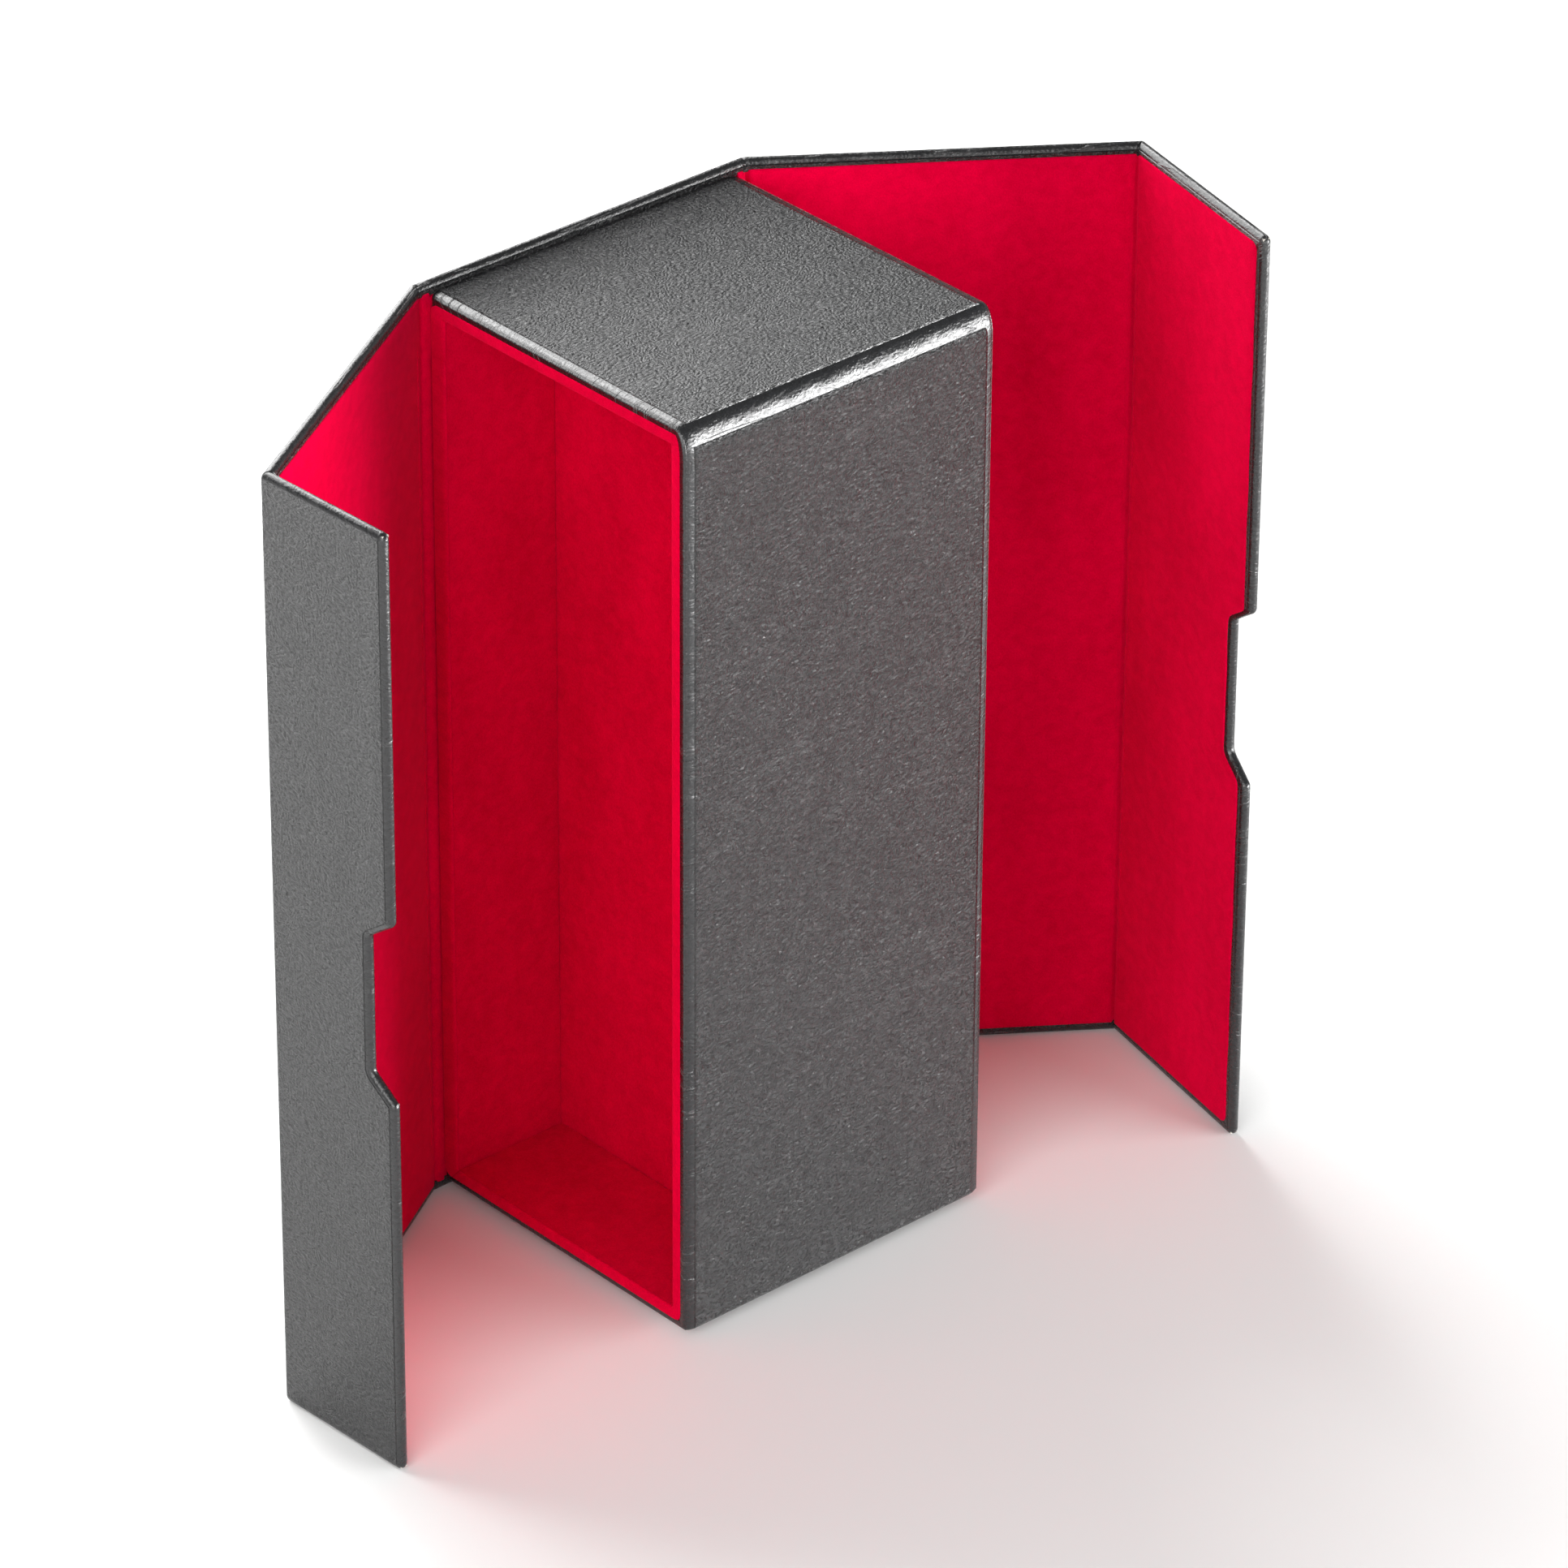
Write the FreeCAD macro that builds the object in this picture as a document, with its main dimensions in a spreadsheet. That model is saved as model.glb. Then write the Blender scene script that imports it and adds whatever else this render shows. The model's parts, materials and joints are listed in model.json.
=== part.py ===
import FreeCAD, Part
import os
import re

# A tall leatherette case that stands on end inside a wrap-around cover of five stiff panels.
# Millimetres, +Z up. The origin is the middle of the spine panel's bottom edge, on the table.
# The spine lies along X, and the case stands in front of it, towards -Y. The left side panel and flap
# are towards -X, the right ones towards +X. Every fold is an upright living hinge on the outside
# corner of two panels, and the panels are shown part way open.

# ---------------------------------------------------------------- driving dimensions
SIZES = [
    ("cover_height", 220.0),        # panels, bottom edge to top edge
    ("case_width", 84.0),           # along X, from one open side to the other
    ("case_depth", 80.0),           # along Y, back to front
    ("cover_overhang", 2.25),       # the panels stand this far past the case, above and below
    ("leather", 0.5),               # leatherette
    ("panel_board", 1.6),           # greyboard in the cover
    ("panel_lining", 0.5),          # velvet on the cover
    ("wall_board", 3.0),            # greyboard in the case's walls
    ("divider_board", 2.0),         # greyboard in the partition
    ("case_lining", 1.2),           # padded velvet inside the case
    ("left_depth", 29.6),           # left compartment, from its opening to the partition's lining
    ("rim_turn_in", 1.9),           # leather seen on the edge of each case wall
    ("closing_gap", 0.5),           # between the closed cover and the case
    ("seam_gap", 2.4),              # between the closed flaps
    ("left_flap_width", 36.0),
    ("hinge_relief", 0.15),         # each panel stops this far short of its fold line
    ("mitre_angle", 46.0),          # degrees, each folding edge, a little past 45 for clearance
    ("panel_edge_round", 0.8),      # along the panels' leather-wrapped edges
    ("case_edge_round", 1.2),       # along the case's outer edges
    ("lining_margin", 2.2),         # leather seen between a panel's edge and its lining
    ("notch_margin", 1.2),          # the same round the finger notch
    ("notch_outer", 42.2),          # finger notch, at the flap's free edge
    ("notch_inner", 32.2),          # finger notch, at its bottom
    ("notch_depth", 7.0),
    ("magnet_diameter", 8.0),
    ("magnet_play", 0.1),           # all round a magnet in its hole
    ("magnet_inset", 11.5),         # centre of a magnet from the flap's free edge
    ("magnet_pitch", 120.0),        # between the upper and the lower magnet
    ("front_magnet_depth", 2.0),    # the magnets in the case's front wall
    ("left_side_open", 59.4),       # degrees from closed, as shown
    ("left_flap_open", 28.4),
    ("right_side_open", 54.2),
    ("right_flap_open", 23.0),
]

# What follows from the driving dimensions, as formulas in the same sheet.
DERIVED = [
    ("panel", "leather + panel_board + panel_lining"),
    ("wall", "leather + wall_board + case_lining"),
    ("mitre_slope", "tan(mitre_angle)"),
    ("half_width", "case_width / 2"),
    ("case_height", "cover_height - 2 * cover_overhang"),
    ("case_back", "-panel / 2"),
    ("case_front", "case_back - case_depth"),
    ("hinge_x", "half_width + closing_gap + panel"),
    ("hinge_y", "panel / 2"),
    ("spine_width", "2 * hinge_x"),
    ("side_width", "case_depth + closing_gap + 2 * panel"),
    ("right_flap_width", "spine_width - seam_gap - left_flap_width"),
    ("between_depth", "case_depth - 2 * leather - 2 * wall_board"),
    ("between_height", "case_height - 2 * leather - 2 * wall_board"),
    ("between_floor", "cover_overhang + leather + wall_board"),
    ("between_front", "case_front + leather + wall_board"),
    ("inner_depth", "case_depth - 2 * wall"),
    ("inner_height", "case_height - 2 * wall"),
    ("inner_floor", "cover_overhang + wall"),
    ("inner_front", "case_front + wall"),
    ("divider_left", "-half_width + left_depth"),
    ("divider_right", "divider_left + divider_board + 2 * case_lining"),
]

doc = FreeCAD.newDocument("hinged_case")
sheet = doc.addObject("Spreadsheet::Sheet", "sizes")
ALIASES = {alias for alias, _ in SIZES + DERIVED}


def fill_sheet():
    """Writes each name beside its number or formula, and makes the name an alias."""
    rows = [(alias, str(value)) for alias, value in SIZES]
    rows += [(alias, "=" + formula) for alias, formula in DERIVED]
    for row, (alias, content) in enumerate(rows, start=1):
        sheet.set("A%d" % row, alias)
        sheet.set("B%d" % row, content)
        sheet.setAlias("B%d" % row, alias)
    doc.recompute()


def size(alias):
    return float(getattr(sheet, alias))


def bind(target, name, formula):
    """Ties one property to a formula of the sheet's names."""
    words = re.sub(r"[a-z_]+", lambda m: "sizes." + m.group() if m.group() in ALIASES else m.group(), formula)
    target.setExpression(name, words)


# ---------------------------------------------------------------- shapes that every piece uses
def box(name, corner, extent):
    """A box from its lowest corner and its three sizes."""
    made = doc.addObject("Part::Box", name)
    for side, formula in zip(("Length", "Width", "Height"), extent):
        bind(made, side, formula)
    for axis, formula in zip("xyz", corner):
        bind(made, ".Placement.Base." + axis, formula)
    return made


def cut(name, base, *tools):
    made = doc.addObject("Part::Cut", name)
    made.Base = base
    made.Tool = tools[0] if len(tools) == 1 else group(name + "_tools", *tools)
    return made


def group(name, *members):
    """Several solids that count as one piece."""
    made = doc.addObject("Part::Compound", name)
    made.Links = list(members)
    return made


def rounded(name, base, radius, wanted):
    """base with the edges that wanted(edge) picks rounded to the sheet's radius."""
    doc.recompute()
    made = doc.addObject("Part::Fillet", name)
    made.Base = base
    made.Edges = [
        (number, size(radius), size(radius))
        for number, edge in enumerate(base.Shape.Edges, start=1)
        if wanted(edge)
    ]
    return made


def disc(name, centre, diameter, depth):
    """A disc whose axis runs along +Y from its centre point."""
    made = doc.addObject("Part::Cylinder", name)
    bind(made, "Radius", "(" + diameter + ") / 2")
    bind(made, "Height", depth)
    made.Placement.Rotation = FreeCAD.Rotation(FreeCAD.Vector(1, 0, 0), -90)
    for axis, formula in zip("xyz", centre):
        bind(made, ".Placement.Base." + axis, formula)
    return made


PIECES = []


def piece(made, label, placement=None):
    """Marks a finished piece: its label is its node's name."""
    made.Label = label
    if placement is not None:
        made.Placement = placement
    PIECES.append(made)
    return made


# ---------------------------------------------------------------- cover panels
# A panel is built with its fold line at x = 0 and its outside face at y = 0, and its thickness runs to +Y.
# Its width runs along +X where hand is 1, and along -X where hand is -1.
def slab(name, hand, start, end, faces, levels):
    """A layer of a panel. start and end say how far along the width it reaches at a given depth."""
    made = doc.addObject("Part::Wedge", name)
    for low, high, depth in (("Xmin", "Xmax", faces[0]), ("X2min", "X2max", faces[1])):
        near, far = start(depth), end(depth)
        if hand < 0:
            near, far = "-(" + far + ")", "-(" + near + ")"
        bind(made, low, near)
        bind(made, high, far)
    for bottom, top in (("Zmin", "Zmax"), ("Z2min", "Z2max")):
        bind(made, bottom, levels[0])
        bind(made, top, levels[1])
    bind(made, "Ymin", faces[0])
    bind(made, "Ymax", faces[1])
    return made


def notch(name, hand, width, margin):
    """The trapezoid that the finger notch takes out of a flap, larger by margin on its three sides."""
    made = doc.addObject("Part::Wedge", name)
    middle = "cover_height / 2"
    bind(made, "Xmin", "-2 * panel")
    bind(made, "Xmax", "panel")
    bind(made, "X2min", "-2 * panel")
    bind(made, "X2max", "panel")
    bind(made, "Ymin", width + " - notch_depth - " + margin)
    bind(made, "Ymax", width)
    for suffix, height in (("", "notch_inner"), ("2", "notch_outer")):
        bind(made, "Z" + suffix + "min", middle + " - " + height + " / 2 - " + margin)
        bind(made, "Z" + suffix + "max", middle + " + " + height + " / 2 + " + margin)
    made.Placement.Rotation = FreeCAD.Rotation(FreeCAD.Vector(0, 0, 1), -90 * hand)
    return made


def folded_end(width):
    """The mitred edge at the far fold of a panel."""
    return lambda depth: width + " - hinge_relief - (" + depth + ") * mitre_slope"


def folded_start(depth):
    """The mitred edge at a panel's own fold line."""
    return "hinge_relief + (" + depth + ") * mitre_slope"


def free_end(width, margin):
    """The square edge of a flap, or a layer that stops short of it by margin."""
    return lambda depth: width + " - " + margin


def wrapped_edge(width, hand):
    """Picks the edges that the leather wraps: top, bottom and a flap's free edge, on both faces."""
    def wanted(edge):
        centre, span = edge.CenterOfMass, edge.BoundBox
        on_face = min(abs(centre.y), abs(centre.y - size("panel"))) < 1e-6 and span.YLength < 1e-6
        at_rim = min(abs(centre.z), abs(centre.z - size("cover_height"))) < 1e-6
        at_free_end = width is not None and abs(hand * centre.x - size(width)) < 1e-6
        return on_face and (at_rim or at_free_end)
    return wanted


def panel_layer(name, hand, width, faces, margin, flap, around_notch):
    """A board or a lining: a slab that stops margin short of the panel's edges, notched on a flap."""
    end = free_end(width, margin) if flap else folded_end(width)
    made = slab(name + "_slab", hand, folded_start, end, faces, (margin, "cover_height - " + margin))
    return cut(name, made, notch(name + "_notch", hand, width, around_notch)) if flap else made


BOARD_FACES = ("leather", "leather + panel_board")
LINING_FACES = ("leather + panel_board", "panel")


def magnet_levels():
    return ["cover_height / 2 + magnet_pitch / 2", "cover_height / 2 - magnet_pitch / 2"]


def cover_panel(name, hand, width, placement, flap=False):
    """The board, leather and lining of one panel, and the magnets of a flap."""
    def layers(use):
        stem = name + "_" + use
        board = panel_layer(stem + "_board", hand, width, BOARD_FACES, "leather", flap, "leather")
        lining = panel_layer(stem + "_lining", hand, width, LINING_FACES, "lining_margin", flap, "notch_margin")
        return board, lining

    end = free_end(width, "0") if flap else folded_end(width)
    outside = slab(name + "_outside", hand, folded_start, end, ("0", "panel"), ("0", "cover_height"))
    outside = rounded(name + "_round", outside, "panel_edge_round", wrapped_edge(width if flap else None, hand))
    if flap:
        outside = cut(name + "_open", outside, notch(name + "_notch", hand, width, "0"))
    leather = cut(name + "_skin", outside, *layers("hollow"))
    board, lining = layers("solid")

    if flap:
        along = ("" if hand > 0 else "-") + "(" + width + " - magnet_inset)"
        spots = [(along, "leather", level) for level in magnet_levels()]
        holes = [
            disc("%s_hole_%d" % (name, i), spot, "magnet_diameter + 2 * magnet_play", "panel_board")
            for i, spot in enumerate(spots)
        ]
        magnets = [
            disc("%s_magnet_%d" % (name, i), spot, "magnet_diameter", "panel_board")
            for i, spot in enumerate(spots)
        ]
        board = cut(name + "_drilled", board, *holes)
        piece(group(name + "_discs", *magnets), name + "_magnets", placement)

    piece(board, name + "_board", placement)
    piece(leather, name + "_leather", placement)
    piece(lining, name + "_lining", placement)


def turned(x, y, degrees):
    return FreeCAD.Placement(FreeCAD.Vector(x, y, 0), FreeCAD.Rotation(FreeCAD.Vector(0, 0, 1), degrees))


def cover():
    """The five panels, each turned about its fold as far as it is shown open."""
    hinge_x, hinge_y = size("hinge_x"), size("hinge_y")
    spine = turned(hinge_x, hinge_y, 180)
    left_side = turned(-hinge_x, hinge_y, -90 - size("left_side_open"))
    left_flap = left_side * turned(size("side_width"), 0, 90 - size("left_flap_open"))
    right_side = turned(hinge_x, hinge_y, 90 + size("right_side_open"))
    right_flap = right_side * turned(-size("side_width"), 0, size("right_flap_open") - 90)
    cover_panel("spine", 1, "spine_width", spine)
    cover_panel("left_side", 1, "side_width", left_side)
    cover_panel("left_flap", 1, "left_flap_width", left_flap, flap=True)
    cover_panel("right_side", -1, "side_width", right_side)
    cover_panel("right_flap", -1, "right_flap_width", right_flap, flap=True)


# ---------------------------------------------------------------- case
def case_walls():
    """Five greyboard walls: top and bottom run over the front, the back and the partition."""
    flat = ("case_width - 2 * leather", "case_depth - 2 * leather", "wall_board")
    edge_x, edge_y = "-half_width + leather", "case_front + leather"
    upright = ("case_width - 2 * leather", "wall_board", "between_height")
    piece(box("bottom", (edge_x, edge_y, "cover_overhang + leather"), flat), "case_bottom_board")
    piece(box("top", (edge_x, edge_y, "between_floor + between_height"), flat), "case_top_board")
    piece(box("back", (edge_x, "between_front + between_depth", "between_floor"), upright), "case_back_board")

    front = box("front", (edge_x, edge_y, "between_floor"), upright)
    left = "-hinge_x + left_flap_width - magnet_inset"
    right = "hinge_x - right_flap_width + magnet_inset"
    spots = [(across, edge_y, level) for across in (left, right) for level in magnet_levels()]
    holes = [
        disc("front_hole_%d" % i, spot, "magnet_diameter + 2 * magnet_play", "front_magnet_depth")
        for i, spot in enumerate(spots)
    ]
    magnets = [
        disc("front_magnet_%d" % i, spot, "magnet_diameter", "front_magnet_depth")
        for i, spot in enumerate(spots)
    ]
    piece(cut("front_drilled", front, *holes), "case_front_board")
    piece(group("magnets_in_front", *magnets), "front_magnets")

    divider_corner = ("divider_left + case_lining", "between_front", "between_floor")
    divider = box("divider_wall", divider_corner, ("divider_board", "between_depth", "between_height"))
    piece(divider, "partition_board")


def inset(name, margin, start, length):
    """A box across the case that stops margin inside its top, bottom, front and back."""
    corner = (start, "case_front + " + margin, "cover_overhang + " + margin)
    return box(name, corner, (length, "case_depth - 2 * " + margin, "case_height - 2 * " + margin))


def case_leather():
    """One skin round the top, front, bottom and back, turned in on the edges of both open sides."""
    outside = inset("case_outside", "0", "-half_width", "case_width")
    outside = rounded("case_round", outside, "case_edge_round", lambda edge: True)
    boards = inset("boards_space", "leather", "-half_width + leather", "case_width - 2 * leather")
    mouth = inset("mouth_space", "rim_turn_in", "-half_width", "case_width")
    piece(cut("case_skin", outside, boards, mouth), "case_leather")


def compartment(name, opening, hand, depth, partition):
    """The velvet of one compartment: five panels and the frame round its opening."""
    length = depth + " - leather"
    start = opening + " + leather" if hand > 0 else opening + " - " + depth
    across = (length, "case_lining", "between_height")
    back = "between_front + between_depth - case_lining"
    flat = (length, "inner_depth", "case_lining")
    ceiling = "inner_floor + inner_height"
    facing = ("case_lining", "between_depth", "between_height")
    parts = {
        "back": box(name + "_back", (start, back, "between_floor"), across),
        "front": box(name + "_front", (start, "between_front", "between_floor"), across),
        "floor": box(name + "_floor", (start, "inner_front", "between_floor"), flat),
        "ceiling": box(name + "_ceiling", (start, "inner_front", ceiling), flat),
        "partition": box(name + "_facing", (partition, "between_front", "between_floor"), facing),
    }
    for place, made in parts.items():
        piece(made, name + "_lining_" + place)
    rim_start = opening if hand > 0 else opening + " - leather"
    rim = inset(name + "_rim_outside", "rim_turn_in", rim_start, "leather")
    rim = cut(name + "_rim", rim, inset(name + "_rim_inside", "wall", rim_start, "leather"))
    piece(rim, name + "_rim_lining")


def check(made):
    """Stops the build if a feature failed, or a piece isn't one or more valid closed solids."""
    if made.isDerivedFrom("Part::Feature") and made.Shape.isNull():
        raise RuntimeError(made.Name + " has no shape")
    if made in PIECES and not (made.Shape.isValid() and made.Shape.Solids):
        raise RuntimeError(made.Label + " is not a valid solid")
    if "Invalid" in made.State or "Error" in made.State:
        raise RuntimeError(made.Name + " failed: " + ", ".join(made.State))


fill_sheet()
case_walls()
case_leather()
compartment("left", "-half_width", 1, "left_depth", "divider_left")
compartment("right", "half_width", -1, "(half_width - divider_right)", "divider_right - case_lining")
cover()
doc.recompute()
for made in doc.Objects:
    check(made)
os.makedirs("parts", exist_ok=True)
for made in PIECES:
    made.Shape.exportStep("parts/" + made.Label + ".step")
    print("%-28s %d solid(s) %10.1f mm3" % (made.Label, len(made.Shape.Solids), made.Shape.Volume))
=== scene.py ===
import json
import math

import bmesh
import bpy
import numpy as np
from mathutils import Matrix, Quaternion, Vector


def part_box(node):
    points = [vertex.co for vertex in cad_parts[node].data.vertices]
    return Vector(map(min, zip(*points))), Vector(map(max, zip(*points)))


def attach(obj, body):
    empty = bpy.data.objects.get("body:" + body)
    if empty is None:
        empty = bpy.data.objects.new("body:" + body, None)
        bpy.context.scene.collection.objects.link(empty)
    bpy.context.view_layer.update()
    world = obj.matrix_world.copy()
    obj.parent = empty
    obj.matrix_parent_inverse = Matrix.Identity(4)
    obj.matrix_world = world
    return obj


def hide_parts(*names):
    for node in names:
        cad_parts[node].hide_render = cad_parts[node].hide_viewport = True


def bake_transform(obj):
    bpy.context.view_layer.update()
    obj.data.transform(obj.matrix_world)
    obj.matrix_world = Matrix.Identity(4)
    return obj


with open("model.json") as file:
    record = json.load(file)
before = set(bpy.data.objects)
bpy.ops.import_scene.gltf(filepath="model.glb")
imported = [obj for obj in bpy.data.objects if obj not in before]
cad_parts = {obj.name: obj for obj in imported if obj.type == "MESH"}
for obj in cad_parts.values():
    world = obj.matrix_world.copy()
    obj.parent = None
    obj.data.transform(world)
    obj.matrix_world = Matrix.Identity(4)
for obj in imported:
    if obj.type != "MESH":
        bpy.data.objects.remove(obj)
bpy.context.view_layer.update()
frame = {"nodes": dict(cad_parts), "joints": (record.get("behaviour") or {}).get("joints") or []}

# A leatherette case with velvet-lined compartments, inside a cover of five hinged panels.
# Metres, in the frame of the CAD model. The cover's pieces are described in each panel's own terms:
# "along" runs from the fold into the panel, "depth" from its outside face to its inside.
MM = 0.001

# ---------------------------------------------------------------- sizes
LEATHER = 0.5 * MM
BOARD_FACE = 2.1 * MM          # depth of the board's inner face
SKIN_FACE = 2.5 * MM           # depth of the turned-in leather's face
PILE_FACE = 2.8 * MM           # depth of the velvet's face
MITRE = math.tan(math.radians(46))
RELIEF = 0.15 * MM             # each panel stops this far short of its fold line
FOLD_REACH = 0.6 * MM          # the outside of a fold is rounded this far to each side
EDGE_SOFT = 1.5 * MM           # how far the wrapped edge's rounding reaches in from the edge
LINING_MARGIN = 2.2 * MM
HIDDEN_MARGIN = 0.9 * MM       # how much more the velvet behind the case leaves free
NOTCH_MARGIN = 1.2 * MM
TUCK = 0.6 * MM                # the leather runs this far under the lining
NOTCH_OUTER = 42.2 * MM
NOTCH_INNER = 32.2 * MM
NOTCH_DEPTH = 7.0 * MM
CORNER_ROUND = 1.6 * MM        # the outline's free corners
NOTCH_ROUND = 1.7 * MM         # the outline's corners at the notch
LINING_ROUND = 2.0 * MM        # the velvet's free corners
PILE_ROUND = 0.5 * MM          # the velvet's cut or folded edges
RIM_TURN_IN = 1.9 * MM         # leather seen round each opening
CASE_ROUND = np.array([3.5, 7.0]) * MM   # the edge between the case's top and front: back over, and down
CASE_FOOT_ROUND = 1.2 * MM     # the edges that it stands on
CASE_BACK_ROUND = 0.3 * MM     # the upper edge that is glued to the cover
CASE_WALL = 3.0 * MM           # board round the case
CASE_SHOULDER = 3.2 * MM       # how far the outside faces roll over towards an opening
RIM_DROP = 1.2 * MM            # and how much of the rim that rolling takes
PROUD = 0.12 * MM              # how far the rim's velvet stands out of its leather
RIM_SOFT = 0.45 * MM           # that velvet's rounding next to the leather
RIM_FOLD = 0.9 * MM            # its rounding into the compartment
RIM_FLAT = 1.4 * MM            # where its flat part ends, short of the compartment
RIM_CORNER = 0.4 * MM          # its corner radius at the compartment
RIM_CORNER_MORE = 1.8 * MM     # and how much larger that is at the leather
RIM_BACK = 0.3 * MM            # its inset at the case's back, next to the leather
LEAST_ROUND = 0.05 * MM        # no corner of a flap's wrap is sharper than this
LEAST_CASE_ROUND = 0.15 * MM   # and none of the case's than this
WRAP_REACH = 6 * MM            # how far the turned leather is modelled in from the edge
CREASE_DEPTH = 0.25 * MM       # dip of a fold's leather in the cover's top and bottom edges
CREASE_SHARE = 0.12            # half its width, as a share of the bend
LEATHER_GROOVE = 0.3 * MM      # groove along the inside of a fold, in the leather
VELVET_GROOVE = 0.9 * MM       # and in the velvet
GROOVE_SHARE = 0.16            # half its width, as a share of the bend
RIDGE = 0.16 * MM              # step in the velvet where the turned-in leather ends
RIDGE_INSET = 12 * MM          # how far in from the velvet's edge that is
RIDGE_SOFT = 0.35 * MM         # and how softly it rises
EDGE_WAVE = 0.12 * MM          # how far the edge of a flap's velvet wanders
PANEL_STEP = 2 * MM            # spacing of the points in a panel's velvet
WALL_STEP = 3 * MM             # in a compartment's velvet
FOLD_STEP = 6 * MM             # and up a fold's velvet

HINGES = {j["name"]: j for j in frame["joints"]}


# ---------------------------------------------------------------- meshes
def grid_faces(rows, columns, close_rows=False, close_columns=False):
    """Quads between neighbouring points of a grid that is numbered row by row."""
    r = np.arange(rows if close_rows else rows - 1)[:, None]
    c = np.arange(columns if close_columns else columns - 1)[None, :]
    down, right = (r + 1) % rows, (c + 1) % columns
    corners = [r * columns + c, down * columns + c, down * columns + right, r * columns + right]
    return np.stack(np.broadcast_arrays(*corners), -1).reshape(-1, 4).tolist()


def added(name, data):
    """A new object in the scene."""
    made = bpy.data.objects.new(name, data)
    bpy.context.scene.collection.objects.link(made)
    return made


def piece(name, points, faces, cloth, material, body=None, replaces=(), taut=0.0):
    """A smooth closed mesh. cloth is where each point lies on the flat material, for the grain, and taut
    is how far that grain is stretched flat there, from 0 to 1."""
    mesh = bpy.data.meshes.new(name)
    mesh.from_pydata(np.asarray(points, float).tolist(), [], faces)
    flat = mesh.attributes.new("cloth", "FLOAT_VECTOR", "POINT")
    flat.data.foreach_set("vector", np.asarray(cloth, np.float32).ravel())
    stretch = mesh.attributes.new("taut", "FLOAT", "POINT")
    stretch.data.foreach_set("value", np.broadcast_to(taut, len(points)).astype(np.float32))
    work = bmesh.new()
    work.from_mesh(mesh)
    bmesh.ops.recalc_face_normals(work, faces=work.faces)
    for face in work.faces:
        face.smooth = True
    work.to_mesh(mesh)
    work.free()
    made = added(name, mesh)
    mesh.materials.append(material)
    if body:
        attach(made, body)
    if replaces:
        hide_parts(*replaces)
    return made


def sharpen(made, angle=50):
    """Keeps creases sharper than angle, so that smooth shading doesn't round them."""
    made.data.set_sharp_from_angle(angle=math.radians(angle))
    return made


def quarter(steps):
    """Angles of a quarter turn."""
    return np.linspace(0, math.pi / 2, steps + 1)


# ---------------------------------------------------------------- panels of the cover
class Panel:
    """Places of one cover panel: fold line, direction of its width and of its depth."""

    def __init__(self, name, body, fold, along, hand, width, cloth_start, cloth_step):
        self.name, self.body, self.width = name, body, width
        self.fold = np.array(fold[:2])
        self.along = np.array(along) / np.linalg.norm(along)
        self.inward = hand * np.array([-self.along[1], self.along[0]])
        self.cloth_start, self.cloth_step = cloth_start, cloth_step

    def place(self, u, depth, z):
        """Points at u along the panel, depth under its outside face, at the height z."""
        u, depth, z = np.broadcast_arrays(u, depth, z)
        flat = self.fold + u[..., None] * self.along + depth[..., None] * self.inward
        return np.concatenate([flat, z[..., None]], -1).reshape(-1, 3)

    def cloth(self, u, v, lift=0.0):
        """Where a point at u along the panel lies on the flat material."""
        u, v, lift = np.broadcast_arrays(self.cloth_start + self.cloth_step * np.asarray(u), v, lift)
        return np.stack([u, v, lift], -1).reshape(-1, 3)


def turned(direction, degrees):
    """A level direction turned about Z."""
    a = math.radians(degrees)
    x, y = direction
    return np.array([x * math.cos(a) - y * math.sin(a), x * math.sin(a) + y * math.cos(a)])


def cover_panels():
    """The five panels, from the joints' places and from how far each fold is bent."""
    at = {name: np.array(j["pos_m"][:2]) for name, j in HINGES.items()}
    left_low, right_low = at["left_side_hinge"], at["right_side_hinge"]
    left_far, right_far = at["left_flap_hinge"], at["right_flap_hinge"]
    spine_width = np.linalg.norm(left_low - right_low)
    side_width = np.linalg.norm(left_far - left_low)
    left_turn = -HINGES["left_flap_hinge"]["range_deg"][0]
    right_turn = -HINGES["right_flap_hinge"]["range_deg"][1]
    half = spine_width / 2
    spine = Panel("spine", "case", right_low, left_low - right_low, 1, spine_width, half, -1)
    left = Panel("left_side", "left_side", left_low, left_far - left_low, 1, side_width, -half, -1)
    right = Panel("right_side", "right_side", right_low, right_far - right_low, -1, side_width, half, 1)
    far = half + side_width
    left_flap = Panel("left_flap", "left_flap", left_far, turned(left.along, left_turn), 1, 0, -far, -1)
    right_flap = Panel("right_flap", "right_flap", right_far, turned(right.along, right_turn), -1, 0, far, 1)
    for flap in (left_flap, right_flap):
        corners = [v.co.xy for v in frame["nodes"][flap.name + "_leather"].data.vertices]
        flap.width = float(((np.array(corners) - flap.fold) @ flap.along).max())
    return spine, left, left_flap, right, right_flap


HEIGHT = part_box("spine_leather")[1].z


def mitre(depth):
    """How far from its fold line a panel starts at a given depth."""
    return RELIEF + np.asarray(depth) * MITRE


def skin_start(depth):
    """The same for the leather, which also leaves room for the fold's rounding."""
    return np.maximum(FOLD_REACH, mitre(depth))


def wrap_profile():
    """Leather round a panel's edge, as (distance in from the edge, depth). It runs over the outside, round
    the turn-in and back along the inside of the skin."""
    middle = SKIN_FACE / 2
    turn = [
        (EDGE_SOFT * (1 - math.sin(a)), middle * (1 - math.cos(a)))
        for a in np.linspace(0, math.pi, 17)
    ]
    outside = [(WRAP_REACH, 0.0), (EDGE_SOFT + 0.3 * MM, 0.0)]
    under = LINING_MARGIN + TUCK
    inside = [(EDGE_SOFT + 0.2 * MM, SKIN_FACE), (under, SKIN_FACE), (under, BOARD_FACE)]
    back = [(LEATHER, BOARD_FACE), (LEATHER, LEATHER), (WRAP_REACH, LEATHER)]
    return np.array(outside + turn + inside + back)


WRAP = wrap_profile()
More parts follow.
